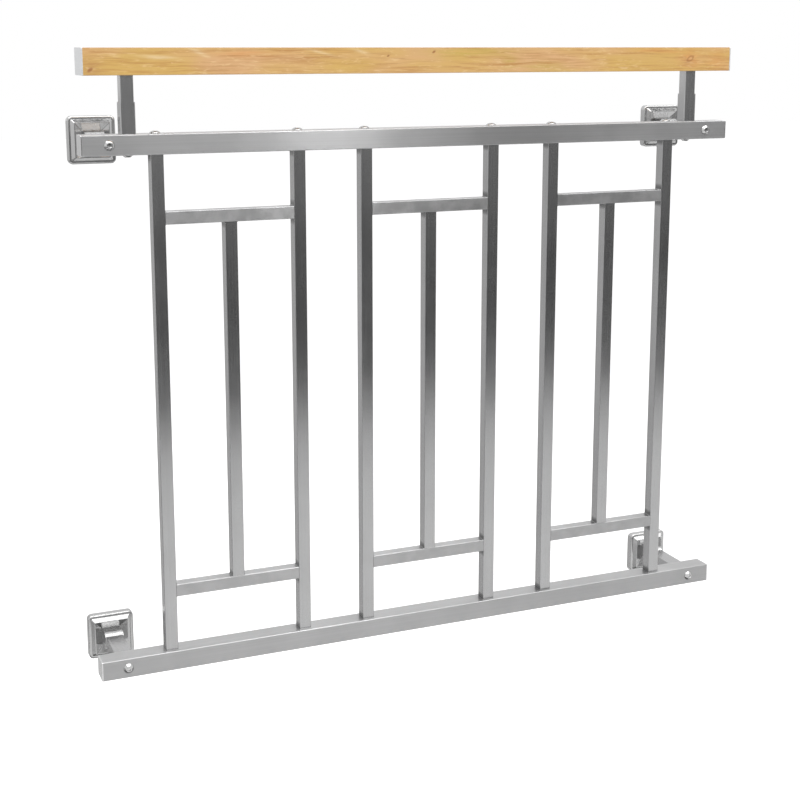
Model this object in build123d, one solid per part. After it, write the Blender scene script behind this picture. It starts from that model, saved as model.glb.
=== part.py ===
from build123d import *
import os

# Juliet balcony railing, in millimetres.
# The wall is the plane Y = 0 and the railing stands in front of it, at -Y.
# The origin is the middle of the lower left wall plate's back face.

# Wall brackets, centre to centre, and how far the railing's front stands off the wall
BRACKET_SPACING_X = 1040.0
BRACKET_SPACING_Z = 820.0
FRONT_FROM_WALL = 152.0

# Top and bottom rails, box section
RAIL_LENGTH = 1124.0
RAIL_HEIGHT = 31.0
RAIL_DEPTH = 34.0
RAIL_WALL = 2.0
RAIL_CORNER_R = 1.5
RAIL_CAP_T = 2.0
RAIL_CAP_EDGE_R = 0.6
TUBE_INNER_R = 0.3

# Upright bars and crossbars, square section
BAR_SIDE = 20.0
BAR_WALL = 1.5
BAR_CORNER_R = 1.2
BAR_PITCH = 112.0
LOWER_CROSSBAR_Z = 114.0
UPPER_CROSSBAR_Z = 708.0

# Posts under the handrail
POST_SPACING = 980.0
POST_SIDE = 20.0
POST_WALL = 1.5
POST_SOCKET_SIDE = 23.0
POST_SOCKET_HEIGHT = 47.0
POST_SOCKET_CORNER_R = 2.2

# Wooden handrail
HANDRAIL_LENGTH = 1116.0
HANDRAIL_DEPTH = 56.0
HANDRAIL_HEIGHT = 40.0
HANDRAIL_BOTTOM_Z = 922.0
HANDRAIL_EDGE_R = 1.2
HANDRAIL_CAP_T = 2.0

# Wall plate with its four screw holes
PLATE_SIDE = 60.0
PLATE_T = 5.0
PLATE_CORNER_R = 4.0
SCREW_SPACING = 46.0
SCREW_HOLE_R = 3.5

# Arm and the socket it slides into, whose nose is rounded over above and below
ARM_WIDTH = 27.0
ARM_HEIGHT = 20.0
ARM_WALL = 2.5
ARM_END_T = 6.0
ARM_IN_SOCKET = 28.0
SOCKET_WIDTH = 30.0
SOCKET_HEIGHT = 29.0
SOCKET_REACH = 41.5
SOCKET_EDGE_R = 1.2
SOCKET_NOSE_R = 20.0
SOCKET_NOSE_LENGTH = 13.0

# Polished rosette round the bracket: a rounded base, a bevelled frame raised on it, and a hipped recess
COVER_SIDE = 75.0
COVER_CORNER_R = 8.0
COVER_BASE_DEPTH = 12.5
COVER_EDGE_R = 3.0
COVER_SHOULDER = 5.0
COVER_FRAME_CORNER_R = 3.0
COVER_DEPTH = 18.5
COVER_MOUTH_SIDE = 53.0
COVER_MOUTH_CORNER_R = 1.5
COVER_RIM = 1.0
COVER_RIM_EDGE_R = 0.4
COVER_RECESS = 6.0
COVER_WALL = 1.5
COVER_FRONT_WALL = 3.0

# Places worked out from the sizes above
MIDDLE_X = BRACKET_SPACING_X / 2
RAIL_FRONT_Y = -FRONT_FROM_WALL
RAIL_BACK_Y = RAIL_FRONT_Y + RAIL_DEPTH
RAIL_MIDDLE_Y = (RAIL_FRONT_Y + RAIL_BACK_Y) / 2
TOP_RAIL_Z = BRACKET_SPACING_Z
PANELS = {"left_panel": -3, "middle_panel": 0, "right_panel": 3}


def block(size_x, size_y, size_z, centre):
    """A plain box, given by its sizes and its centre."""
    return Pos(*centre) * Box(size_x, size_y, size_z)


def tube(length, side_a, side_b, wall, corner_r, plane):
    """A hollow bar of rectangular section, centred on the plane's origin and running along its normal."""
    section = plane * RectangleRounded(side_a, side_b, corner_r)
    bore = plane * RectangleRounded(side_a - 2 * wall, side_b - 2 * wall, TUBE_INNER_R)
    return extrude(section - bore, length / 2, both=True)


def rail(z):
    """One horizontal rail without its end plates."""
    place = Plane(origin=(MIDDLE_X, RAIL_MIDDLE_Y, z), x_dir=(0, 1, 0), z_dir=(1, 0, 0))
    return tube(RAIL_LENGTH - 2 * RAIL_CAP_T, RAIL_DEPTH, RAIL_HEIGHT, RAIL_WALL, RAIL_CORNER_R, place)


def rail_cap(side, z):
    """The plate that closes one end of a rail."""
    face_x = MIDDLE_X + side * (RAIL_LENGTH / 2 - RAIL_CAP_T)
    place = Plane(origin=(face_x, RAIL_MIDDLE_Y, z), x_dir=(0, 1, 0), z_dir=(side, 0, 0))
    cap = extrude(place * RectangleRounded(RAIL_DEPTH, RAIL_HEIGHT, RAIL_CORNER_R), RAIL_CAP_T)
    outer = cap.faces().sort_by(Axis.X)[-1 if side > 0 else 0]
    return fillet(outer.edges(), RAIL_CAP_EDGE_R)


def upright(x, low_z, high_z):
    """A vertical bar between two heights."""
    place = Plane(origin=(x, RAIL_MIDDLE_Y, (low_z + high_z) / 2), x_dir=(1, 0, 0), z_dir=(0, 0, 1))
    return tube(high_z - low_z, BAR_SIDE, BAR_SIDE, BAR_WALL, BAR_CORNER_R, place)


def crossbar(x, z):
    """The two lengths of one crossbar, left and right of the panel's middle bar's line."""
    length = BAR_PITCH - BAR_SIDE
    pieces = []
    for step in (-0.5, 0.5):
        place = Plane(origin=(x + step * BAR_PITCH, RAIL_MIDDLE_Y, z), x_dir=(0, 1, 0), z_dir=(1, 0, 0))
        pieces.append(tube(length, BAR_SIDE, BAR_SIDE, BAR_WALL, BAR_CORNER_R, place))
    return Compound(pieces)


def panel(name, first_step):
    """The five parts of one welded panel."""
    x = MIDDLE_X + first_step * BAR_PITCH
    low = RAIL_HEIGHT / 2
    high = TOP_RAIL_Z - RAIL_HEIGHT / 2
    return {
        name + "_left_bar": upright(x - BAR_PITCH, low, high),
        name + "_middle_bar": upright(x, LOWER_CROSSBAR_Z - BAR_SIDE / 2, UPPER_CROSSBAR_Z + BAR_SIDE / 2),
        name + "_right_bar": upright(x + BAR_PITCH, low, high),
        name + "_lower_crossbar": crossbar(x, LOWER_CROSSBAR_Z),
        name + "_upper_crossbar": crossbar(x, UPPER_CROSSBAR_Z),
    }


def post(side):
    """The post and the socket it stands in, on one side of the middle."""
    x = MIDDLE_X + side * POST_SPACING / 2
    low = TOP_RAIL_Z + RAIL_HEIGHT / 2
    high = HANDRAIL_BOTTOM_Z
    place = Plane(origin=(x, RAIL_MIDDLE_Y, (low + high) / 2), x_dir=(1, 0, 0), z_dir=(0, 0, 1))
    shaft = tube(high - low, POST_SIDE, POST_SIDE, POST_WALL, BAR_CORNER_R, place)
    socket_place = Plane(
        origin=(x, RAIL_MIDDLE_Y, low + POST_SOCKET_HEIGHT / 2), x_dir=(1, 0, 0), z_dir=(0, 0, 1)
    )
    section = socket_place * RectangleRounded(POST_SOCKET_SIDE, POST_SOCKET_SIDE, POST_SOCKET_CORNER_R)
    bore = socket_place * RectangleRounded(POST_SIDE, POST_SIDE, BAR_CORNER_R)
    socket = extrude(section - bore, POST_SOCKET_HEIGHT / 2, both=True)
    return shaft, socket


def handrail():
    """The wooden rail without its end plates."""
    length = HANDRAIL_LENGTH - 2 * HANDRAIL_CAP_T
    centre = (MIDDLE_X, RAIL_MIDDLE_Y, HANDRAIL_BOTTOM_Z + HANDRAIL_HEIGHT / 2)
    body = block(length, HANDRAIL_DEPTH, HANDRAIL_HEIGHT, centre)
    return fillet(body.edges().filter_by(Axis.X), HANDRAIL_EDGE_R)


def handrail_cap(side):
    """The metal plate on one end of the handrail."""
    x = MIDDLE_X + side * (HANDRAIL_LENGTH / 2 - HANDRAIL_CAP_T / 2)
    centre = (x, RAIL_MIDDLE_Y, HANDRAIL_BOTTOM_Z + HANDRAIL_HEIGHT / 2)
    body = block(HANDRAIL_CAP_T, HANDRAIL_DEPTH, HANDRAIL_HEIGHT, centre)
    return fillet(body.edges().filter_by(Axis.X), HANDRAIL_EDGE_R)


def wall_face(x, z, y):
    """A plane parallel to the wall at a distance from it, facing away from the wall."""
    return Plane(origin=(x, y, z), x_dir=(1, 0, 0), z_dir=(0, -1, 0))


def wall_plate(x, z):
    """The base plate screwed to the wall."""
    place = wall_face(x, z, 0)
    outline = place * RectangleRounded(PLATE_SIDE, PLATE_SIDE, PLATE_CORNER_R)
    holes = place * GridLocations(SCREW_SPACING, SCREW_SPACING, 2, 2) * Circle(SCREW_HOLE_R)
    return extrude(outline - holes, PLATE_T)


def socket_section():
    """The outline of the socket seen from the front."""
    return RectangleRounded(SOCKET_WIDTH, SOCKET_HEIGHT, SOCKET_EDGE_R)


def arm_socket(x, z):
    """The socket on the wall plate, with a rounded nose and a bore for the arm."""
    body = extrude(wall_face(x, z, -PLATE_T) * socket_section(), SOCKET_REACH - PLATE_T)
    nose_start = Plane(origin=(x, -SOCKET_REACH + SOCKET_NOSE_LENGTH, z), x_dir=(0, -1, 0), z_dir=(1, 0, 0))
    drop = SOCKET_NOSE_R - SOCKET_HEIGHT / 2
    nose = Pos(0, -drop) * Circle(SOCKET_NOSE_R) & Pos(0, drop) * Circle(SOCKET_NOSE_R)
    straight = Pos(-SOCKET_REACH / 2, 0) * Rectangle(SOCKET_REACH, SOCKET_HEIGHT)
    side_view = extrude(nose_start * (straight + nose), SOCKET_WIDTH, both=True)
    bore = extrude(wall_face(x, z, -SOCKET_REACH + ARM_IN_SOCKET) * Rectangle(ARM_WIDTH, ARM_HEIGHT), ARM_IN_SOCKET)
    return (body & side_view) - bore


def arm(x, z):
    """The box-section arm from inside the socket to the rail's back, closed at the rail."""
    start_y = -SOCKET_REACH + ARM_IN_SOCKET
    length = start_y - RAIL_BACK_Y
    body = extrude(wall_face(x, z, start_y) * Rectangle(ARM_WIDTH, ARM_HEIGHT), length)
    bore_section = Rectangle(ARM_WIDTH - 2 * ARM_WALL, ARM_HEIGHT - 2 * ARM_WALL)
    bore = extrude(wall_face(x, z, start_y) * bore_section, length - ARM_END_T)
    return body - bore


def cover(x, z):
    """The rosette: a rounded base, a raised frame with mitred bevels, and a recess hipped down to the socket."""
    base = extrude(wall_face(x, z, 0) * RectangleRounded(COVER_SIDE, COVER_SIDE, COVER_CORNER_R), COVER_BASE_DEPTH)
    base = fillet(base.faces().sort_by(Axis.Y)[0].edges(), COVER_EDGE_R)
    foot_side = COVER_SIDE - 2 * COVER_SHOULDER
    rim_side = COVER_MOUTH_SIDE + 2 * COVER_RIM
    frame = loft([
        wall_face(x, z, -COVER_BASE_DEPTH) * RectangleRounded(foot_side, foot_side, COVER_FRAME_CORNER_R),
        wall_face(x, z, -COVER_DEPTH) * RectangleRounded(rim_side, rim_side, COVER_MOUTH_CORNER_R),
    ])
    recess = loft([
        wall_face(x, z, -COVER_DEPTH + COVER_RECESS) * socket_section(),
        wall_face(x, z, -COVER_DEPTH) * RectangleRounded(COVER_MOUTH_SIDE, COVER_MOUTH_SIDE, COVER_MOUTH_CORNER_R),
    ])
    body = fillet((base + frame - recess).faces().sort_by(Axis.Y)[0].edges(), COVER_RIM_EDGE_R)
    inner_side = COVER_SIDE - 2 * COVER_WALL
    inside = RectangleRounded(inner_side, inner_side, COVER_CORNER_R - COVER_WALL)
    back = extrude(wall_face(x, z, 0) * inside, COVER_BASE_DEPTH - COVER_FRONT_WALL)
    window = extrude(wall_face(x, z, 0) * socket_section(), COVER_DEPTH)
    return body - back - window


def bracket(name, x, z):
    """The four parts of one wall bracket."""
    return {
        name + "_wall_plate": wall_plate(x, z),
        name + "_arm_socket": arm_socket(x, z),
        name + "_arm": arm(x, z),
        name + "_cover": cover(x, z),
    }


def railing():
    """Every part of the railing by name."""
    nodes = {"bottom_rail": rail(0), "top_rail": rail(TOP_RAIL_Z)}
    for level, z in (("bottom", 0), ("top", TOP_RAIL_Z)):
        nodes[level + "_rail_left_cap"] = rail_cap(-1, z)
        nodes[level + "_rail_right_cap"] = rail_cap(1, z)
    for name, step in PANELS.items():
        nodes.update(panel(name, step))
    for name, side in (("left", -1), ("right", 1)):
        nodes[name + "_post"], nodes[name + "_post_socket"] = post(side)
        nodes["handrail_" + name + "_cap"] = handrail_cap(side)
    nodes["handrail"] = handrail()
    for level, z in (("lower", 0), ("upper", BRACKET_SPACING_Z)):
        nodes.update(bracket(level + "_left", 0, z))
        nodes.update(bracket(level + "_right", BRACKET_SPACING_X, z))
    return nodes


os.makedirs("parts", exist_ok=True)
for node, shape in railing().items():
    export_step(shape, "parts/" + node + ".step")
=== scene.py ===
"""Looks of the juliet balcony railing: steel, an oiled wooden handrail, bolts, welds and the studio."""

from __future__ import annotations

import logging
import math
from dataclasses import dataclass, field, replace
from enum import Enum

import bmesh
import bpy
from mathutils import Euler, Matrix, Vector

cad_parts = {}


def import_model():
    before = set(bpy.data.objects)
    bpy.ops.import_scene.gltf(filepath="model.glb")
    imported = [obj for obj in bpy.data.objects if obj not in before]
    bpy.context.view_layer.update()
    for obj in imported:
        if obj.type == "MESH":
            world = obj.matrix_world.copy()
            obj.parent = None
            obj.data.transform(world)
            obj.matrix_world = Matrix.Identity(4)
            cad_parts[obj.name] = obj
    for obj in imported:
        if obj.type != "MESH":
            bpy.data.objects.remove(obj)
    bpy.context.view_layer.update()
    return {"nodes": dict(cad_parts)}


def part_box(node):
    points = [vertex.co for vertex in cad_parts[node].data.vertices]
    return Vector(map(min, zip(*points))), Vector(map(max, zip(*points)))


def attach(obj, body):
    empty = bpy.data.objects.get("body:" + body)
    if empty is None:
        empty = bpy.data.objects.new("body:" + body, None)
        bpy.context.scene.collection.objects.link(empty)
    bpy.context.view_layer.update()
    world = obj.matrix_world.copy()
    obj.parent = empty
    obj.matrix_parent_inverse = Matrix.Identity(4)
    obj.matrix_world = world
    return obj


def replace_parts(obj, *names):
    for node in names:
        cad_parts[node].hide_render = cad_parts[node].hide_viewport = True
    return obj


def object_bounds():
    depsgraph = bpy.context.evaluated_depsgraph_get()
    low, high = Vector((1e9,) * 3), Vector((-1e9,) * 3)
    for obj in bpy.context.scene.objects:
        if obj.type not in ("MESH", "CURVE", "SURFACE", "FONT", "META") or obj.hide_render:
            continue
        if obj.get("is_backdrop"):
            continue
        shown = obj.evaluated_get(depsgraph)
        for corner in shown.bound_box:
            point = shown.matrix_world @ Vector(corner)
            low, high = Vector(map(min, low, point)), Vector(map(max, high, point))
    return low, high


LOG = logging.getLogger("railing")

Span = tuple[float, float]
Colour = tuple[float, float, float, float]
Point = tuple[float, float, float]

MM = 0.001
BODY = "root"
SENSOR_WIDTH_MM = 36.0
FINISH_BY_ENDING = (
    ("handrail", "handrail"),
    ("handrail_left_cap", "plate"),
    ("handrail_right_cap", "plate"),
    ("_cover", "polished"),
    ("_arm_socket", "socket"),
    ("_arm", "arm"),
    ("_cap", "end"),
    ("upper_crossbar", "upper_crossbar"),
    ("crossbar", "crossbar"),
    ("rail", "rail"),
    ("_middle_bar", "inner"),
    ("_right_bar", "inner"),
)


class Grain(Enum):
    """The way a bar was brushed, or wood fibres run."""

    ALONG_X = (1, 0, 0)
    ALONG_Y = (0, 1, 0)
    ALONG_Z = (0, 0, 1)

    @property
    def axis(self) -> str:
        """The letter of the axis the grain follows."""
        return self.name[-1]

    def stretched(self, along: float, across: float) -> Point:
        """Gives a texture scale that is coarse along the grain and fine across it.

        Args:
            along: cycles per metre along the grain.
            across: cycles per metre across it.

        Returns:
            The scale on each axis.
        """
        return tuple(along if part else across for part in self.value)


class Value:
    """One output socket of a material, on which Python's arithmetic adds Math nodes."""

    def __init__(self, sheet: NodeSheet, socket: bpy.types.NodeSocket) -> None:
        """Wraps a socket of a node sheet."""
        self.sheet = sheet
        self.socket = socket

    def _math(self, operation: str, first: object, second: object) -> Value:
        """Adds one Math node on two values or numbers."""
        node = self.sheet.node("ShaderNodeMath", {"operation": operation}, {0: first, 1: second})
        return Value(self.sheet, node.outputs[0])

    def __add__(self, other: object) -> Value:
        """Sum."""
        return self._math("ADD", self, other)

    def __sub__(self, other: object) -> Value:
        """Difference."""
        return self._math("SUBTRACT", self, other)

    def __rsub__(self, other: object) -> Value:
        """Difference with a number on the left."""
        return self._math("SUBTRACT", other, self)

    def __mul__(self, other: object) -> Value:
        """Product."""
        return self._math("MULTIPLY", self, other)

    def __truediv__(self, other: object) -> Value:
        """Quotient."""
        return self._math("DIVIDE", self, other)

    def squared(self) -> Value:
        """The value times itself."""
        return self * self

    def exponential(self) -> Value:
        """The number e to the power of the value."""
        return self.sheet.value("ShaderNodeMath", {"operation": "EXPONENT"}, {0: self})

    def at_most(self, other: object) -> Value:
        """The smaller of two values."""
        return self._math("MINIMUM", self, other)

    def at_least(self, other: object) -> Value:
        """The larger of two values."""
        return self._math("MAXIMUM", self, other)


class NodeSheet:
    """The nodes of one material or world."""

    def __init__(self, owner: bpy.types.ID) -> None:
        """Clears the owner's nodes.

        Args:
            owner: a material or a world.
        """
        owner.use_nodes = True
        self.tree = owner.node_tree
        self.tree.nodes.clear()

    def node(self, kind: str, settings: dict[str, object], inputs: dict[object, object]) -> bpy.types.Node:
        """Adds a node.

        Args:
            kind: the node's type name.
            settings: attributes set before the inputs.
            inputs: values or links by socket name or number.

        Returns:
            The new node.
        """
        made = self.tree.nodes.new(kind)
        for name, value in settings.items():
            setattr(made, name, value)
        for name, value in inputs.items():
            source = value.socket if isinstance(value, Value) else value
            if isinstance(source, bpy.types.NodeSocket):
                self.tree.links.new(source, made.inputs[name])
            else:
                made.inputs[name].default_value = source
        return made

    def value(
        self, kind: str, settings: dict[str, object], inputs: dict[object, object], output: object = 0
    ) -> Value:
        """Adds a node and gives one of its outputs as a value."""
        return Value(self, self.node(kind, settings, inputs).outputs[output])

    def place(self) -> Value:
        """The point on the piece, in object coordinates, which are metres in the shared frame."""
        return self.value("ShaderNodeTexCoord", {}, {}, "Object")

    def axes(self, point: Value) -> tuple[Value, Value, Value]:
        """Splits a point into X, Y and Z."""
        split = self.node("ShaderNodeSeparateXYZ", {}, {0: point})
        return tuple(Value(self, output) for output in split.outputs)

    def scaled(self, point: Value, scale: Point) -> Value:
        """A point with each axis multiplied."""
        return self.value("ShaderNodeVectorMath", {"operation": "MULTIPLY"}, {0: point, 1: scale})

    def noise(
        self, point: Value, scale: float = 1.0, detail: float = 2.0, rough: float = 0.5, bend: float = 0.0
    ) -> Value:
        """Fractal noise from 0 to 1."""
        inputs = {"Vector": point, "Scale": scale, "Detail": detail, "Roughness": rough, "Distortion": bend}
        return self.value("ShaderNodeTexNoise", {}, inputs)

    def remap(self, source: Value, span: Span, to_span: Span) -> Value:
        """A number moved smoothly from one span to another, and held at its ends."""
        settings = {"interpolation_type": "SMOOTHSTEP"}
        inputs = {0: source, 1: span[0], 2: span[1], 3: to_span[0], 4: to_span[1]}
        return self.value("ShaderNodeMapRange", settings, inputs)

    def blend(self, factor: object, first: object, second: object) -> Value:
        """Mixes two colours."""
        return self.value("ShaderNodeMix", {"data_type": "RGBA"}, {0: factor, 6: first, 7: second}, 2)

    def bump(self, height: Value, depth: float) -> Value:
        """A surface normal from a height, with depth in metres."""
        return self.value("ShaderNodeBump", {}, {"Height": height, "Distance": depth, "Strength": 1.0})

    def surface(self, inputs: dict[object, object]) -> None:
        """Ends the sheet in a Principled shader."""
        shader = self.node("ShaderNodeBsdfPrincipled", {}, inputs)
        self.node("ShaderNodeOutputMaterial", {}, {"Surface": shader.outputs[0]})


def grey(level: float) -> Colour:
    """A neutral colour."""
    return (level, level, level, 1.0)


def around(middle: float, spread: float) -> Span:
    """The span that reaches as far below a number as above it."""
    return (middle - spread, middle + spread)


def add_object(name: str, data: bpy.types.ID) -> bpy.types.Object:
    """Adds an object to the scene."""
    made = bpy.data.objects.new(name, data)
    bpy.context.scene.collection.objects.link(made)
    return made


def skin(mesh: bmesh.types.BMesh, rows: list[list[bmesh.types.BMVert]]) -> None:
    """Joins closed rows of vertices by faces of four."""
    for low, high in zip(rows, rows[1:]):
        for step in range(len(low)):
            after = (step + 1) % len(low)
            mesh.faces.new((low[step], low[after], high[after], high[step]))


@dataclass(frozen=True)
class BrushedSteel:
    """Stainless steel brushed one way, with fine grooves, faint streaks and handling marks, and painted shade
    on the bars' sides near the joints.
    """

    name: str
    grain: Grain
    level: float = 0.45
    streak_spread: float = 0.035
    smooth: float = 0.23
    rough: float = 0.27
    stretch: float = 0.80
    groove_pitch: float = 0.45 * MM
    groove_length: float = 60 * MM
    groove_depth: float = 0.008 * MM
    cloud_size: float = 110 * MM
    cloud_spread: float = 0.035
    streak_cycles: Span = (2.0, 420.0)
    streak_span: Span = (0.3, 0.7)
    cloud_span: Span = (0.35, 0.65)
    blue: float = 1.005
    # Heights of the joints, and the strength and reach of the painted shade on the bars' sides there.
    welds: tuple[float, ...] = ()
    tint: float = 0.60
    shade_reach: float = 11 * MM

    def _painted_side_shade(self, sheet: NodeSheet, point: Value) -> Value:
        """Painted shade on the steel's sides near the joints with rails and crossbars, from 0 to the tint's
        strength.
        """
        place = sheet.axes(point)[self.grain.value.index(1)]
        nearest: object = None
        for weld in self.welds:
            square = (place - weld).squared()
            nearest = square if nearest is None else nearest.at_most(square)
        tint = sheet.remap(nearest, (0.0, self.shade_reach ** 2), (self.tint, 0.0))
        normal = sheet.value("ShaderNodeNewGeometry", {}, {}, "Normal")
        return tint * sheet.axes(normal)[0].squared()

    def build(self) -> bpy.types.Material:
        """Makes the material."""
        material = bpy.data.materials.new(self.name)
        sheet = NodeSheet(material)
        point = sheet.place()
        fine = self.grain.stretched(1 / self.groove_length, 1 / self.groove_pitch)
        grooves = sheet.noise(sheet.scaled(point, fine), detail=3.0, rough=0.6)
        wide = self.grain.stretched(*self.streak_cycles)
        streaks = sheet.noise(sheet.scaled(point, wide), detail=3.0, rough=0.55)
        marks = sheet.noise(point, scale=1 / self.cloud_size, detail=3.0, rough=0.6)
        tone = sheet.remap(streaks, self.streak_span, around(1, self.streak_spread))
        cloud = sheet.remap(marks, self.cloud_span, around(1, self.cloud_spread))
        shade = tone * cloud * self.level
        # Painted shade: the bars' side faces are darkened near the joints.
        if self.welds:
            shade = shade * (1.0 - self._painted_side_shade(sheet, point))
        colour = sheet.value("ShaderNodeCombineColor", {}, {0: shade, 1: shade, 2: shade * self.blue})
        wear = streaks * 0.5 + marks * 0.5
        direction = {"direction_type": "RADIAL", "axis": self.grain.axis}
        sheet.surface({
            "Base Color": colour,
            "Metallic": 1.0,
            "Roughness": sheet.remap(wear, self.cloud_span, (self.smooth, self.rough)),
            "Anisotropic": self.stretch,
            "Tangent": sheet.value("ShaderNodeTangent", direction, {}),
            "Normal": sheet.bump(grooves, self.groove_depth),
        })
        return material


@dataclass(frozen=True)
class PolishedSteel:
    """Polished stainless steel with the faint ripple and finger marks of a pressed part."""

    name: str
    level: float = 0.50
    smooth: float = 0.19
    rough: float = 0.27
    mark_cycles: float = 60.0
    mark_span: Span = (0.4, 0.72)
    ripple_cycles: float = 140.0
    ripple_depth: float = 0.006 * MM

    def build(self) -> bpy.types.Material:
        """Makes the material."""
        material = bpy.data.materials.new(self.name)
        sheet = NodeSheet(material)
        point = sheet.place()
        marks = sheet.noise(point, scale=self.mark_cycles, detail=4.0, rough=0.6)
        ripple = sheet.noise(point, scale=self.ripple_cycles, detail=1.0)
        sheet.surface({
            "Base Color": grey(self.level),
            "Metallic": 1.0,
            "Roughness": sheet.remap(marks, self.mark_span, (self.smooth, self.rough)),
            "Normal": sheet.bump(ripple, self.ripple_depth),
        })
        return material


@dataclass(frozen=True)
class Knot:
    """A knot in the handrail's front, in metres.

    It is given by its middle, along the rail and above its underside, and its radius. Its rings lean and are
    longer than high. The spans say where its dark heart fades, by the squared distance in radii.
    """

    along: float
    above: float
    radius: float
    hollow: bool = False
    depth: float = 0.012
    lean: float = 0.6
    long_share: float = 1.5
    high_share: float = 0.8
    depth_weight: float = 0.2
    pull_fall: float = 0.6
    heart_span: Span = (0.15, 1.6)
    heart_strength: float = 0.80
    hollow_span: Span = (0.05, 0.75)
    hollow_strength: float = 0.2


class Tint(Enum):
    """The colours that patches and streaks of the wood take."""

    ORANGE = (0.76, 0.340, 0.095, 1.0)
    BROWN = (0.50, 0.250, 0.085, 1.0)
    OLIVE = (0.58, 0.410, 0.075, 1.0)
    CREAM = (0.90, 0.700, 0.400, 1.0)


@dataclass(frozen=True)
class Patch:
    """A soft patch or streak in the handrail's front: its middle, half length and half height, in metres."""

    tint: Tint
    along: float
    above: float
    length: float
    height: float
    weight: float
    slope: float = 0.0
    raggedness: float = 2.4


@dataclass(frozen=True)
class OiledWood:
    """Oiled honey-coloured softwood: soft patches, growth bands, fine fibres, streaks and a few knots.

    Cycles are counted per metre, along the grain and across it. Weights say how far each noise moves the
    bands. Spans are the values of a noise at which a colour begins and is full.
    """

    name: str
    bottom: float
    top: float
    front: float
    knots: tuple[Knot, ...] = ()
    patches: tuple[Patch, ...] = ()
    slow_cycles: Span = (3.2, 9.0)
    wavy_cycles: Span = (18.0, 95.0)
    fibre_cycles: Span = (22.0, 480.0)
    fleck_cycles: Span = (60.0, 330.0)
    broad_cycles: Span = (5.5, 22.0)
    band_pitch: float = 4.5 * MM
    band_tilt: float = 0.45
    band_drift: float = 5.0
    slow_weight: float = 8.0
    wavy_weight: float = 0.9
    knot_weight: float = 1.6
    broad_span: Span = (0.35, 0.65)
    ragged_span: Span = (0.36, 0.56)
    ragged_strength: Span = (0.35, 1.25)
    late_mix: Span = (0.55, 0.45)
    late_span: Span = (0.46, 0.66)
    late_strength: Span = (0.0, 0.80)
    cream_mix: Span = (0.65, 0.35)
    cream_span: Span = (0.53, 0.67)
    cream_strength: Span = (0.0, 0.42)
    arris: float = 1.9 * MM
    top_wear: float = 0.55
    bottom_wear: float = 0.40
    fibre_gloss: float = 0.5
    gloss_span: Span = (0.4, 1.1)
    roughness: Span = (0.50, 0.42)
    coat: float = 0.10
    coat_roughness: float = 0.30
    relief: float = 0.06 * MM
    relief_mix: Span = (0.6, 0.4)
    pink: Colour = (0.74, 0.435, 0.200, 1.0)
    yellow: Colour = (0.70, 0.440, 0.120, 1.0)
    late: Colour = (0.53, 0.245, 0.065, 1.0)
    cream: Colour = (0.90, 0.660, 0.340, 1.0)
    heart: Colour = (0.36, 0.120, 0.028, 1.0)
    edge: Colour = (0.46, 0.270, 0.150, 1.0)

    def build(self) -> bpy.types.Material:
        """Makes the material."""
        material = bpy.data.materials.new(self.name)
        sheet = NodeSheet(material)
        point = sheet.place()
        x, y, z = sheet.axes(point)
        slow = self._grain(sheet, point, self.slow_cycles, detail=2.0, rough=0.5)
        wavy = self._grain(sheet, point, self.wavy_cycles, detail=4.0, rough=0.6, bend=0.5)
        depth = z - self.bottom + (y - self.front) * self.band_tilt
        phase = depth / self.band_pitch + slow * self.slow_weight + wavy * self.wavy_weight
        heart: object = None
        for knot in self.knots:
            near, core = self._knot(sheet, x, y, z, knot)
            phase = phase + near * self.knot_weight
            heart = core if heart is None else heart.at_least(core)
        across = sheet.value("ShaderNodeCombineXYZ", {}, {0: phase, 1: x * self.band_drift, 2: 0.0})
        bands = sheet.noise(across, detail=3.0, rough=0.55)
        fibres = self._grain(sheet, point, self.fibre_cycles, detail=4.0, rough=0.6, bend=0.3)
        flecks = self._grain(sheet, point, self.fleck_cycles, detail=2.0, rough=0.5, bend=0.8)
        broad = self._grain(sheet, point, self.broad_cycles, detail=2.0)
        colour = sheet.blend(sheet.remap(broad, self.broad_span, (0.0, 1.0)), self.yellow, self.pink)
        ragged = sheet.remap(fibres, self.ragged_span, self.ragged_strength)
        for patch in self.patches:
            colour = sheet.blend(self._patch(sheet, x, z, wavy, patch) * ragged, colour, patch.tint.value)
        late = sheet.remap(self._mixed(bands, fibres, self.late_mix), self.late_span, self.late_strength)
        colour = sheet.blend(late, colour, self.late)
        pale = sheet.remap(self._mixed(flecks, wavy, self.cream_mix), self.cream_span, self.cream_strength)
        colour = sheet.blend(pale, colour, self.cream)
        if heart is not None:
            colour = sheet.blend(heart, colour, self.heart)
        over = sheet.remap(z, (self.top - self.arris, self.top), (0.0, self.top_wear))
        under = sheet.remap(z, (self.bottom, self.bottom + self.arris), (self.bottom_wear, 0.0))
        colour = sheet.blend(over.at_least(under), colour, self.edge)
        sheet.surface({
            "Base Color": colour,
            "Roughness": sheet.remap(bands + fibres * self.fibre_gloss, self.gloss_span, self.roughness),
            "Coat Weight": self.coat,
            "Coat Roughness": self.coat_roughness,
            "Normal": sheet.bump(fibres * self.relief_mix[0] - bands * self.relief_mix[1], self.relief),
        })
        return material

    @staticmethod
    def _grain(sheet: NodeSheet, point: Value, cycles: Span, **shape: float) -> Value:
        """Noise drawn out along the rail, with its cycles per metre along the grain and across it."""
        return sheet.noise(sheet.scaled(point, Grain.ALONG_X.stretched(*cycles)), **shape)

    @staticmethod
    def _mixed(first: Value, second: Value, weights: Span) -> Value:
        """Two noises added by their weights."""
        return first * weights[0] + second * weights[1]

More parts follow.
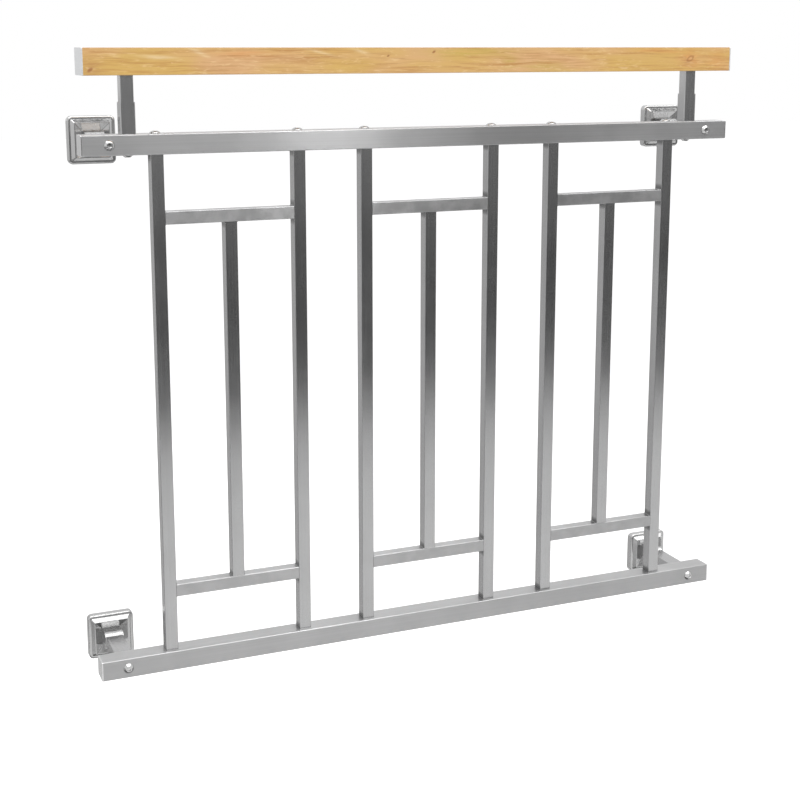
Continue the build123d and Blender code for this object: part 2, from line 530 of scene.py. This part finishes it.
    def _patch(self, sheet: NodeSheet, x: Value, z: Value, wavy: Value, patch: Patch) -> Value:
        """How strongly a patch tints the wood, from 0 to its weight, with a ragged edge.

        Args:
            sheet: the material's nodes; not used.
            x: place along the rail.
            z: height.
            wavy: the noise that makes its edge ragged.
            patch: where it is, how big and how strong.

        Returns:
            The strength of its colour.
        """
        beside = x - patch.along
        above = z - self.bottom - patch.above - beside * patch.slope
        reach = beside / patch.length
        lift = above / patch.height + (wavy - 0.5) * patch.raggedness
        square = reach.squared() + lift.squared()
        return (square * -1.0).exponential() * patch.weight

    def _knot(self, sheet: NodeSheet, x: Value, y: Value, z: Value, knot: Knot) -> tuple[Value, Value]:
        """One knot's pull on the bands and its dark heart.

        Args:
            sheet: the material's nodes.
            x: place along the rail.
            y: place across it.
            z: height.
            knot: where it is and how big.

        Returns:
            How strongly the bands bend there, and how dark it is, both from 0 to 1.
        """
        beside = x - knot.along
        above = z - self.bottom - knot.above
        along = (beside + above * knot.lean) / (knot.radius * knot.long_share)
        up = (above - beside * knot.lean) / (knot.radius * knot.high_share)
        inward = (y - self.front) / knot.depth
        square = along.squared() + up.squared() + inward.squared() * knot.depth_weight
        near = (square * -knot.pull_fall).exponential()
        core = sheet.remap(square, knot.heart_span, (knot.heart_strength, 0.0))
        if knot.hollow:
            core = core * sheet.remap(square, knot.hollow_span, (knot.hollow_strength, 1.0))
        return near, core


@dataclass(frozen=True)
class SatinPlate:
    """Light satin metal of the handrail's end plates."""

    name: str
    level: float = 0.72
    shade_share: Span = (0.95, 1.04)
    green: float = 1.01
    blue: float = 1.02
    mark_cycles: Point = (40.0, 30.0, 700.0)
    mark_span: Span = (0.3, 0.7)
    metallic: float = 0.55
    roughness: Span = (0.38, 0.5)
    relief: float = 0.02 * MM

    def build(self) -> bpy.types.Material:
        """Makes the material."""
        material = bpy.data.materials.new(self.name)
        sheet = NodeSheet(material)
        point = sheet.place()
        marks = sheet.noise(sheet.scaled(point, self.mark_cycles), detail=3.0)
        levels = (self.level * self.shade_share[0], self.level * self.shade_share[1])
        shade = sheet.remap(marks, self.mark_span, levels)
        parts = {0: shade, 1: shade * self.green, 2: shade * self.blue}
        sheet.surface({
            "Base Color": sheet.value("ShaderNodeCombineColor", {}, parts),
            "Metallic": self.metallic,
            "Roughness": sheet.remap(marks, self.mark_span, self.roughness),
            "Normal": sheet.bump(marks, self.relief),
        })
        return material


@dataclass
class RepeatTree:
    """A Geometry Nodes tree that puts one small piece on every point of a mesh, turned as the point says."""

    name: str
    material: bpy.types.Material
    tree: bpy.types.GeometryNodeTree = field(init=False)
    sockets: dict[str, str] = field(init=False)

    def __post_init__(self) -> None:
        """Builds the tree."""
        self.tree = bpy.data.node_groups.new(self.name, "GeometryNodeTree")
        wanted = (
            ("Points", "NodeSocketGeometry"),
            ("Piece", "NodeSocketObject"),
            ("Radius", "NodeSocketFloat"),
            ("Length", "NodeSocketFloat"),
        )
        face = self.tree.interface
        made = {name: face.new_socket(name=name, in_out="INPUT", socket_type=kind) for name, kind in wanted}
        face.new_socket(name="Result", in_out="OUTPUT", socket_type="NodeSocketGeometry")
        self.sockets = {name: socket.identifier for name, socket in made.items()}
        self._wire()

    def _wire(self) -> None:
        """Adds and links the nodes."""
        nodes, links = self.tree.nodes, self.tree.links
        given = nodes.new("NodeGroupInput")
        result = nodes.new("NodeGroupOutput")
        piece = nodes.new("GeometryNodeObjectInfo")
        turn = nodes.new("GeometryNodeInputNamedAttribute")
        turn.data_type = "FLOAT_VECTOR"
        turn.inputs["Name"].default_value = "turn"
        rotation = nodes.new("FunctionNodeEulerToRotation")
        size = nodes.new("ShaderNodeCombineXYZ")
        put = nodes.new("GeometryNodeInstanceOnPoints")
        realize = nodes.new("GeometryNodeRealizeInstances")
        dress = nodes.new("GeometryNodeSetMaterial")
        dress.inputs["Material"].default_value = self.material
        links.new(given.outputs["Piece"], piece.inputs["Object"])
        links.new(given.outputs["Points"], put.inputs["Points"])
        links.new(piece.outputs["Geometry"], put.inputs["Instance"])
        links.new(turn.outputs["Attribute"], rotation.inputs[0])
        links.new(rotation.outputs[0], put.inputs["Rotation"])
        links.new(given.outputs["Radius"], size.inputs["X"])
        links.new(given.outputs["Radius"], size.inputs["Y"])
        links.new(given.outputs["Length"], size.inputs["Z"])
        links.new(size.outputs[0], put.inputs["Scale"])
        links.new(put.outputs["Instances"], realize.inputs[0])
        links.new(realize.outputs[0], dress.inputs["Geometry"])
        links.new(dress.outputs[0], result.inputs[0])

    def run(
        self,
        name: str,
        piece: bpy.types.Object,
        places: list[tuple[Vector, Euler]],
        radius: float,
        length: float,
    ) -> bpy.types.Object:
        """Repeats a piece of unit size at the given places and keeps the result as a plain mesh.

        Args:
            name: the new object's name.
            piece: the piece to repeat, one unit in radius and in length.
            places: where each copy goes and how it is turned.
            radius: the copies' size on their own X and Y, in metres.
            length: their size on their own Z, in metres.

        Returns:
            The finished object.
        """
        points = bpy.data.meshes.new(name + "_points")
        points.from_pydata([place for place, _ in places], [], [])
        turn = points.attributes.new("turn", "FLOAT_VECTOR", "POINT")
        for index, (_, angle) in enumerate(places):
            turn.data[index].vector = tuple(angle)
        holder = add_object(name, points)
        modifier = holder.modifiers.new("repeat", "NODES")
        modifier.node_group = self.tree
        modifier[self.sockets["Piece"]] = piece
        modifier[self.sockets["Radius"]] = radius
        modifier[self.sockets["Length"]] = length
        bpy.context.view_layer.update()
        evaluated = holder.evaluated_get(bpy.context.evaluated_depsgraph_get())
        mesh = bpy.data.meshes.new_from_object(evaluated)
        holder.modifiers.remove(modifier)
        holder.data = mesh
        mesh.name = name
        bpy.data.meshes.remove(points)
        return holder


@dataclass
class Bolts:
    """Button-head bolts with a hexagon socket, on the rails. Shares are of the head's radius or height."""

    head_radius: float = 8.2 * MM
    head_height: float = 4.0 * MM
    rim_share: float = 0.10
    dome_angle: float = math.radians(62)
    dome_end_share: float = 0.56
    socket_share: float = 0.42
    socket_lip: float = 1.12
    socket_lip_height: float = 0.94
    socket_depth_share: float = 0.55
    socket_point: float = 0.90
    sharp_angle: float = math.radians(38)
    facets: int = 36
    dome_rings: int = 7

    def template(self) -> bpy.types.Object:
        """One head of unit radius and unit height, with its seat at the origin and its dome towards +Z."""
        mesh = bmesh.new()
        profile = [(1.0, 0.0), (1.0, self.rim_share)]
        for ring in range(1, self.dome_rings + 1):
            share = ring / self.dome_rings
            radius = 1.0 - (1.0 - self.dome_end_share) * share
            rise = math.sin(share * self.dome_angle) / math.sin(self.dome_angle)
            profile.append((radius, self.rim_share + (1.0 - self.rim_share) * rise))
        rows = [self._ring(mesh, radius, height) for radius, height in profile]
        rows.append(self._hexagon(mesh, self.socket_share * self.socket_lip, 1.0))
        rows.append(self._hexagon(mesh, self.socket_share, self.socket_lip_height))
        rows.append(self._hexagon(mesh, self.socket_share, 1.0 - self.socket_depth_share))
        skin(mesh, rows)
        deep = mesh.verts.new((0.0, 0.0, self.socket_point - self.socket_depth_share))
        base = mesh.verts.new((0.0, 0.0, 0.0))
        for step in range(self.facets):
            after = (step + 1) % self.facets
            mesh.faces.new((rows[-1][step], rows[-1][after], deep))
            mesh.faces.new((rows[0][after], rows[0][step], base))
        bmesh.ops.recalc_face_normals(mesh, faces=mesh.faces)
        data = bpy.data.meshes.new("bolt_head")
        for face in mesh.faces:
            face.smooth = True
        mesh.to_mesh(data)
        mesh.free()
        data.set_sharp_from_angle(angle=self.sharp_angle)
        return bpy.data.objects.new("bolt_head", data)

    def _ring(self, mesh: bmesh.types.BMesh, radius: float, height: float) -> list[bmesh.types.BMVert]:
        """A circle of vertices."""
        turn = 2 * math.pi / self.facets
        return [
            mesh.verts.new((radius * math.cos(step * turn), radius * math.sin(step * turn), height))
            for step in range(self.facets)
        ]

    def _hexagon(self, mesh: bmesh.types.BMesh, radius: float, height: float) -> list[bmesh.types.BMVert]:
        """A hexagon of the same number of vertices, for the socket."""
        made = []
        for step in range(self.facets):
            angle = 2 * math.pi * step / self.facets
            inside = (angle + math.pi / 6) % (math.pi / 3) - math.pi / 6
            reach = radius * math.cos(math.pi / 6) / math.cos(inside)
            made.append(mesh.verts.new((reach * math.cos(angle), reach * math.sin(angle), height)))
        return made

    def build(self, tree: RepeatTree, rows: dict[str, list[tuple[Vector, Euler]]]) -> list[bpy.types.Object]:
        """Puts the heads on in named groups.

        Args:
            tree: the tree that repeats them.
            rows: places by the name of each group.

        Returns:
            One object for each group.
        """
        head = self.template()
        size = (self.head_radius, self.head_height)
        made = [tree.run(name, head, places, *size) for name, places in rows.items()]
        bpy.data.objects.remove(head)
        return made


@dataclass
class SquareTube:
    """A closed square tube with rounded long edges, as a plain mesh between two corners of its box."""

    corner: float = 1.2 * MM
    arc: int = 6

    def build(
        self, name: str, low: Vector, high: Vector, grain: Grain, material: bpy.types.Material
    ) -> bpy.types.Object:
        """Makes one length.

        Args:
            name: the new object's name.
            low: the box's low corner.
            high: its high corner.
            grain: the axis it runs along.
            material: its finish.

        Returns:
            The object.
        """
        run = grain.value.index(1)
        one, two = (run + 1) % 3, (run + 2) % 3
        points, normals = [], []
        for end in (low[run], high[run]):
            for quarter in range(4):
                for step in range(self.arc + 1):
                    angle = math.pi / 2 * (quarter + step / self.arc)
                    away = (math.cos(angle), math.sin(angle))
                    point, normal = Vector((0, 0, 0)), Vector((0, 0, 0))
                    point[run] = end
                    diagonal = math.pi / 2 * (quarter + 0.5)
                    sides = (math.cos(diagonal), math.sin(diagonal))
                    for axis, part, side in zip((one, two), away, sides):
                        seat = high[axis] - self.corner if side > 0 else low[axis] + self.corner
                        point[axis] = seat + self.corner * part
                        normal[axis] = part
                    points.append(point)
                    normals.append(normal)
        count = 4 * (self.arc + 1)
        faces = [(k, (k + 1) % count, count + (k + 1) % count, count + k) for k in range(count)]
        faces += [tuple(range(count))[::-1], tuple(range(count, 2 * count))]
        mesh = bpy.data.meshes.new(name)
        mesh.from_pydata(points, [], faces)
        for face in mesh.polygons:
            face.use_smooth = True
        mesh.normals_split_custom_set_from_vertices(normals)
        mesh.materials.append(material)
        return add_object(name, mesh)


@dataclass
class Welds:
    """Small fillet welds in the corners where the crossbars meet the bars. Shares are of a bead's leg."""

    leg: float = 1.6 * MM
    length: float = 19.0 * MM
    ripples: int = 9
    ripple_share: float = 0.10
    end_share: float = 0.25
    end_rate: float = 6.0
    hollow_share: float = 0.18
    steps: int = 26
    arc: int = 5

    def template(self) -> bpy.types.Object:
        """One bead of unit leg and unit length: its corner is the Z axis, and it fills towards +X and +Y."""
        mesh = bmesh.new()
        rows = []
        for step in range(self.steps + 1):
            share = step / self.steps
            wave = abs(math.sin(share * math.pi * self.ripples))
            ripple = 1.0 - self.ripple_share + self.ripple_share * wave
            taper = min(1.0, self.end_rate * min(share, 1 - share) + self.end_share)
            reach = ripple * taper
            row = [mesh.verts.new((0.0, 0.0, share - 0.5))]
            for turn in range(self.arc + 1):
                angle = math.pi / 2 * turn / self.arc
                across = reach * (1.0 - self.hollow_share * math.sin(2 * angle))
                row.append(mesh.verts.new((across * math.cos(angle), across * math.sin(angle), share - 0.5)))
            rows.append(row)
        skin(mesh, rows)
        mesh.faces.new(rows[0])
        mesh.faces.new(rows[-1])
        bmesh.ops.recalc_face_normals(mesh, faces=mesh.faces)
        for face in mesh.faces:
            face.smooth = len(face.verts) == 4
        data = bpy.data.meshes.new("weld_bead")
        mesh.to_mesh(data)
        mesh.free()
        return bpy.data.objects.new("weld_bead", data)

    def build(self, tree: RepeatTree, name: str, places: list[tuple[Vector, Euler]]) -> bpy.types.Object:
        """Lays the beads."""
        bead = self.template()
        made = tree.run(name, bead, places, self.leg, self.length)
        bpy.data.objects.remove(bead)
        return made


@dataclass(frozen=True)
class Card:
    """A flat card that shows only in reflections, as a photographer's flag does.

    It is given by one corner and its two sides, in metres, and by its brightness.
    """

    name: str
    corner: Point
    across: Point
    up: Point
    level: float

    def build(self) -> None:
        """Makes the card."""
        start, across, up = Vector(self.corner), Vector(self.across), Vector(self.up)
        mesh = bpy.data.meshes.new(self.name)
        mesh.from_pydata([start, start + across, start + across + up, start + up], [], [(0, 1, 2, 3)])
        card = add_object(self.name, mesh)
        material = bpy.data.materials.new(self.name)
        sheet = NodeSheet(material)
        glow = sheet.node("ShaderNodeEmission", {}, {"Color": grey(1.0), "Strength": self.level})
        sheet.node("ShaderNodeOutputMaterial", {}, {"Surface": glow.outputs[0]})
        mesh.materials.append(material)
        card.visible_camera = False
        card.visible_diffuse = False
        card.visible_shadow = False
        card.visible_transmission = False
        card.visible_volume_scatter = False
        card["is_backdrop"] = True


@dataclass(frozen=True)
class Lamp:
    """A soft square lamp that lights but doesn't show in reflections, in metres and watts."""

    name: str
    place: Point
    side: float
    power: float

    def build(self, aim: Vector) -> None:
        """Makes the lamp, turned towards a point."""
        data = bpy.data.lights.new(self.name, "AREA")
        data.shape = "SQUARE"
        data.size = self.side
        data.energy = self.power
        lamp = add_object(self.name, data)
        lamp.location = self.place
        lamp.rotation_euler = (aim - Vector(self.place)).to_track_quat("-Z", "Y").to_euler()
        lamp.visible_glossy = False


@dataclass
class Studio:
    """The plain white studio: floor, soft lamps, cards that only reflections see, world and camera."""

    floor_drop: float = 0.45
    floor_white: float = 0.80
    floor_glow: float = 0.52
    floor_gloss: float = 0.20
    floor_size: float = 40.0
    lens: float = 63.6725
    shift_up: float = -0.115
    location: Point = (-0.40539, -2.24492, 0.96367)
    yaw: float = 22.5209
    pitch: float = 10.4794
    nearest: float = 0.05
    farthest: float = 100.0
    fill_level: float = 0.70
    card_lift: float = 0.01

    def camera(self) -> None:
        """Makes the camera at the photograph's viewpoint."""
        data = bpy.data.cameras.new("camera")
        data.sensor_width = SENSOR_WIDTH_MM
        data.lens = self.lens
        data.shift_y = self.shift_up
        data.clip_start = self.nearest
        data.clip_end = self.farthest
        camera = add_object("camera", data)
        camera.location = self.location
        camera.rotation_euler = Euler((math.radians(90 - self.pitch), 0.0, -math.radians(self.yaw)))
        bpy.context.scene.camera = camera

    def world(self) -> None:
        """White for the camera and for reflections, and softer as light."""
        world = bpy.data.worlds.new("studio")
        bpy.context.scene.world = world
        sheet = NodeSheet(world)
        path = sheet.node("ShaderNodeLightPath", {}, {})
        camera = Value(sheet, path.outputs["Is Camera Ray"])
        gloss = Value(sheet, path.outputs["Is Glossy Ray"])
        glass = Value(sheet, path.outputs["Is Transmission Ray"])
        seen = camera.at_least(gloss).at_least(glass)
        strength = seen * (1.0 - self.fill_level) + self.fill_level
        light = sheet.node("ShaderNodeBackground", {}, {"Color": grey(1.0), "Strength": strength})
        sheet.node("ShaderNodeOutputWorld", {}, {"Surface": light.outputs[0]})

    def floor(self) -> None:
        """A large white floor that keeps the railing's soft shadow."""
        half, level = self.floor_size / 2, -self.floor_drop
        corners = [(-half, -half, level), (half, -half, level), (half, half, level), (-half, half, level)]
        mesh = bpy.data.meshes.new("floor")
        mesh.from_pydata(corners, [], [(0, 1, 2, 3)])
        floor = add_object("floor", mesh)
        material = bpy.data.materials.new("white_floor")
        sheet = NodeSheet(material)
        path = sheet.node("ShaderNodeLightPath", {}, {})
        camera = Value(sheet, path.outputs["Is Camera Ray"])
        gloss = Value(sheet, path.outputs["Is Glossy Ray"])
        matt = sheet.node("ShaderNodeBsdfDiffuse", {}, {"Color": grey(self.floor_white)})
        strength = camera * self.floor_glow + gloss * self.floor_gloss
        glow = sheet.node("ShaderNodeEmission", {}, {"Color": grey(1.0), "Strength": strength})
        both = sheet.node("ShaderNodeAddShader", {}, {0: matt.outputs[0], 1: glow.outputs[0]})
        sheet.node("ShaderNodeOutputMaterial", {}, {"Surface": both.outputs[0]})
        mesh.materials.append(material)
        floor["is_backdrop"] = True

    def cards(self) -> None:
        """Grey and white cards that only reflections see, so that the bars show bands as in a real studio."""
        low = self.card_lift - self.floor_drop
        for card in (
            Card("dark_floor_card", (-3.0, -9.0, low), (16.0, 0.0, 0.0), (0.0, 6.0, 0.0), 0.10),
            Card("dark_far_card", (-3.0, -9.0, low), (8.6, 0.0, 0.0), (0.0, 0.0, 1.9), 0.27),
            Card("dark_right_card", (5.6, -9.0, low), (7.4, 0.0, 0.0), (0.0, 0.0, 1.9), 0.18),
            Card("left_back_card", (-5.0, 2.2, low), (6.0, 0.0, 0.0), (0.0, 0.0, 1.25), 0.66),
            Card("left_floor_card", (-5.0, 0.6, low), (6.0, 0.0, 0.0), (0.0, 1.6, 0.0), 0.66),
            Card("near_floor_card", (-0.8, -0.45, low), (2.8, 0.0, 0.0), (0.0, 0.6, 0.0), 0.20),
            Card("left_front_card", (-5.0, -1.6, low), (4.0, 0.0, 0.0), (0.0, 2.2, 0.0), 0.40),
            Card("upper_flag", (-0.4, -0.05, 1.35), (1.84, 0.0, 0.0), (0.0, 0.16, 0.0), 0.10),
            Card("overhead_strip", (-2.0, -1.5, 3.3), (5.0, 0.0, 0.0), (0.0, 2.3, 0.0), 4.4),
            Card("front_strip", (-2.0, -3.0, 3.3), (5.0, 0.0, 0.0), (0.0, 0.6, 0.0), 6.0),
            Card("bright_strip", (1.58, -3.88, 1.20), (0.27, 0.0, 0.0), (0.0, 0.0, 2.8), 7.5),
            Card("dark_strip", (2.16, -3.88, 1.05), (0.78, 0.0, 0.0), (0.0, 0.0, 4.0), 0.06),
            Card("right_card", (2.94, -3.88, 1.40), (5.0, 0.0, 0.0), (0.0, 0.0, 2.6), 0.95),
        ):
            card.build()

    def build(self) -> None:
        """Sets the whole studio up round the railing."""
        low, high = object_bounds()
        middle = (low + high) / 2
        self.camera()
        self.world()
        self.floor()
        self.cards()
        for lamp in (
            Lamp("key", (-0.3, -1.9, 3.4), side=1.6, power=40.0),
            Lamp("fill", (3.4, -2.4, 1.8), side=1.8, power=18.0),
            Lamp("back", (0.4, 2.6, 2.6), side=2.2, power=30.0),
        ):
            lamp.build(middle)


@dataclass
class Railing:
    """The railing itself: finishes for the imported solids, and the small pieces that sit on them."""

    nodes: dict[str, bpy.types.Object]
    bar_names: tuple[str, ...] = ("left_bar", "right_bar")
    panel_names: tuple[str, ...] = ("left_panel", "middle_panel", "right_panel")
    bracket_names: tuple[str, ...] = ("lower_left", "lower_right", "upper_left", "upper_right")

    def rail_seats(self) -> tuple[float, float]:
        """The heights at which the long bars meet the rails."""
        return (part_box("bottom_rail")[1].z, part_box("top_rail")[0].z)

    def crossbar_seats(self) -> tuple[float, ...]:
        """The heights of the crossbars' undersides and tops."""
        panel = self.panel_names[0]
        boxes = (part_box(f"{panel}_lower_crossbar"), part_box(f"{panel}_upper_crossbar"))
        return tuple(corner.z for box in boxes for corner in box)

    @staticmethod
    def wood() -> OiledWood:
        """The handrail's wood, with the knots and patches that the photograph shows."""
        rail_low, rail_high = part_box("handrail")
        return OiledWood(
            "oiled_wood",
            bottom=rail_low.z,
            top=rail_high.z,
            front=rail_low.y,
            knots=(
                Knot(0.996, 0.021, 0.0062, hollow=True),
                Knot(-0.026, 0.008, 0.0036),
                Knot(0.438, 0.027, 0.0020),
                Knot(0.516, 0.033, 0.0026),
            ),
            patches=(
                Patch(Tint.BROWN, -0.024, 0.012, 0.016, 0.014, 0.55),
                Patch(Tint.CREAM, 0.072, 0.026, 0.030, 0.0030, 0.55, slope=-0.10),
                Patch(Tint.CREAM, 0.135, 0.033, 0.012, 0.0035, 0.70, slope=-0.40),
                Patch(Tint.ORANGE, 0.205, 0.030, 0.040, 0.0040, 0.50),
                Patch(Tint.BROWN, 0.165, 0.010, 0.030, 0.0050, 0.30, slope=0.15),
                Patch(Tint.CREAM, 0.322, 0.033, 0.024, 0.0022, 0.75, slope=-0.22),
                Patch(Tint.CREAM, 0.391, 0.034, 0.014, 0.0026, 0.65, slope=-0.25),
                Patch(Tint.OLIVE, 0.585, 0.032, 0.080, 0.0080, 0.65),
                Patch(Tint.OLIVE, 0.650, 0.018, 0.016, 0.0100, 0.55),
                Patch(Tint.OLIVE, 0.715, 0.010, 0.045, 0.0080, 0.50),
                Patch(Tint.ORANGE, 0.930, 0.034, 0.055, 0.0045, 0.55),
                Patch(Tint.ORANGE, 0.996, 0.020, 0.022, 0.0150, 0.60),
                Patch(Tint.BROWN, 0.990, 0.015, 0.014, 0.0050, 0.60),
                Patch(Tint.ORANGE, 1.052, 0.018, 0.022, 0.0180, 0.45),
            ),
        )

    def finishes(self) -> dict[str, bpy.types.Material]:
        """Makes each finish, by the name that finish_of gives."""
        rail = BrushedSteel(
            "steel_brushed_along_rails", Grain.ALONG_X, level=0.46, smooth=0.29, rough=0.31, stretch=0.88
        )
        crossbar = BrushedSteel(
            "steel_brushed_along_crossbars",
            Grain.ALONG_X,
            level=0.47,
            smooth=0.29,
            rough=0.30,
            stretch=0.86,
            streak_spread=0.01,
            groove_depth=0.001 * MM,
            cloud_size=35 * MM,
            cloud_spread=0.05,
        )
        # Painted shade: the upper crossbars take a darker, cloudier copy of the crossbars' steel.
        upper_crossbar = replace(
            crossbar, name="steel_brushed_along_upper_crossbars", level=0.42, cloud_spread=0.14
        )
        rail_seats, all_seats = self.rail_seats(), self.rail_seats() + self.crossbar_seats()
        finishes = {
            "handrail": self.wood(),
            "rail": rail,
            "crossbar": crossbar,
            "upper_crossbar": upper_crossbar,
            # The bars take painted shade on their sides near the rails and, for inner bars, the crossbars.
            "outer": BrushedSteel("steel_brushed_outer_bars", Grain.ALONG_Z, welds=rail_seats),
            "inner": BrushedSteel("steel_brushed_inner_bars", Grain.ALONG_Z, welds=all_seats),
            "arm": BrushedSteel("steel_brushed_along_arms", Grain.ALONG_Y),
            "polished": PolishedSteel("steel_polished"),
            "socket": PolishedSteel("steel_polished_socket", smooth=0.24, rough=0.30),
            "end": BrushedSteel("steel_brushed_ends", Grain.ALONG_Z, level=0.70),
            "bead": BrushedSteel("steel_weld_beads", Grain.ALONG_Y, level=0.24),
            "bolt": PolishedSteel("steel_polished_bolts", level=0.56, smooth=0.05, rough=0.10),
            "plate": SatinPlate("satin_plate"),
        }
        return {name: finish.build() for name, finish in finishes.items()}

    @staticmethod
    def finish_of(name: str) -> str:
        """Which finish a node takes: that of the first ending its name has, or else the outer bars'."""
        return next((finish for ending, finish in FINISH_BY_ENDING if name.endswith(ending)), "outer")

    def dress(self) -> dict[str, bpy.types.Material]:
        """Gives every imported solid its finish."""
        finishes = self.finishes()
        for name, node in self.nodes.items():
            material = finishes[self.finish_of(name)]
            if not node.material_slots:
                node.data.materials.append(material)
            for slot in node.material_slots:
                slot.material = material
            LOG.info("dressed %s in %s", name, material.name)
        return finishes

    def bolt_places(self) -> dict[str, list[tuple[Vector, Euler]]]:
        """Where the bolts go: over and under each long bar, in front of each arm and under each post."""
        top_low, top_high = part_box("top_rail")
        bottom_low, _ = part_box("bottom_rail")
        up, down, out = Euler((0, 0, 0)), Euler((math.pi, 0, 0)), Euler((math.pi / 2, 0, 0))
        over, under, front, below = [], [], [], []
        for panel in self.panel_names:
            for bar in self.bar_names:
                low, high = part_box(f"{panel}_{bar}")
                middle = (low + high) / 2
                over.append((Vector((middle.x, middle.y, top_high.z)), up))
                under.append((Vector((middle.x, middle.y, bottom_low.z)), down))
        for bracket in self.bracket_names:
            low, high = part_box(f"{bracket}_arm")
            middle = (low + high) / 2
            front.append((Vector((middle.x, top_low.y, middle.z)), out))
        for side in ("left", "right"):
            low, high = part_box(f"{side}_post")
            middle = (low + high) / 2
            below.append((Vector((middle.x, middle.y, top_low.z)), down))
        return {
            "bolts_on_top_rail": over,
            "bolts_under_bottom_rail": under,
            "bolts_into_arms": front,
            "bolts_under_posts": below,
        }

    def weld_places(self) -> list[tuple[Vector, Euler]]:
        """The corners of every crossbar against the bars, with each bead turned into its corner.

        The middle bar stands only between the crossbars, so it has no corners above the upper one or below
        the lower one.
        """
        places = []
        for panel in self.panel_names:
            bars = [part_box(f"{panel}_{bar}") for bar in ("left_bar", "middle_bar", "right_bar")]
            middle_sides = (bars[1][0].x, bars[1][1].x)
            for level in ("lower", "upper"):
                low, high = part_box(f"{panel}_{level}_crossbar")
                y = (low.y + high.y) / 2
                for (_, left_high), (right_low, _) in zip(bars, bars[1:]):
                    for z, up in ((high.z, True), (low.z, False)):
                        outside = up == (level == "upper")
                        for x, right in ((left_high.x, True), (right_low.x, False)):
                            if not (outside and x in middle_sides):
                                places.append((Vector((x, y, z)), self._corner_turn(right, up)))
        return places

    @staticmethod
    def _corner_turn(right: bool, up: bool) -> Euler:
        """The turn that lays a bead along Y in a corner that opens to the right or left, and up or down."""
        spins = {(True, True): 0.0, (False, True): 90.0, (False, False): 180.0, (True, False): 270.0}
        spin = Euler((0, 0, math.radians(spins[(right, up)]))).to_matrix()
        return (Euler((math.pi / 2, 0, 0)).to_matrix() @ spin).to_euler()

    def panel_tubes(self, finishes: dict[str, bpy.types.Material]) -> None:
        """Draws each crossbar in one length, with the panel's middle bar standing between the two."""
        tube = SquareTube()
        for panel in self.panel_names:
            _, left_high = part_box(f"{panel}_left_bar")
            right_low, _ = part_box(f"{panel}_right_bar")
            levels = {}
            for level in ("lower", "upper"):
                node = f"{panel}_{level}_crossbar"
                low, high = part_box(node)
                levels[level] = (low, high)
                start, stop = Vector((left_high.x, low.y, low.z)), Vector((right_low.x, high.y, high.z))
                finish = finishes[self.finish_of(node)]
                piece = tube.build(f"{node}_whole", start, stop, Grain.ALONG_X, finish)
                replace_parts(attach(piece, BODY), node)
            node = f"{panel}_middle_bar"
            low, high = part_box(node)
            start = Vector((low.x, low.y, levels["lower"][1].z))
            stop = Vector((high.x, high.y, levels["upper"][0].z))
            piece = tube.build(f"{node}_between", start, stop, Grain.ALONG_Z, finishes["inner"])
            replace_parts(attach(piece, BODY), node)
            LOG.info("drew the tubes of %s", panel)

    def build(self) -> None:
        """Dresses the solids, draws the panels' tubes and adds bolts and welds."""
        finishes = self.dress()
        self.panel_tubes(finishes)
        places = self.bolt_places()
        tree = RepeatTree("bolts", finishes["bolt"])
        over = {"bolts_on_top_rail": places.pop("bolts_on_top_rail")}
        bolts = Bolts().build(tree, places)
        bolts += Bolts(rim_share=0.45, head_height=3.9 * MM).build(tree, over)
        for piece in bolts:
            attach(piece, BODY)
            LOG.info("added %s", piece.name)
        welds = Welds().build(RepeatTree("welds", finishes["bead"]), "welds_on_crossbars", self.weld_places())
        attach(welds, BODY)
        LOG.info("added %s", welds.name)


def main() -> None:
    """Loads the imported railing, dresses it and lights it."""
    logging.basicConfig(level=logging.INFO, format="%(message)s")
    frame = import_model()
    Railing(frame["nodes"]).build()
    Studio().build()
    scene = bpy.context.scene
    scene.view_settings.view_transform = "Standard"


if __name__ == "__main__":
    main()
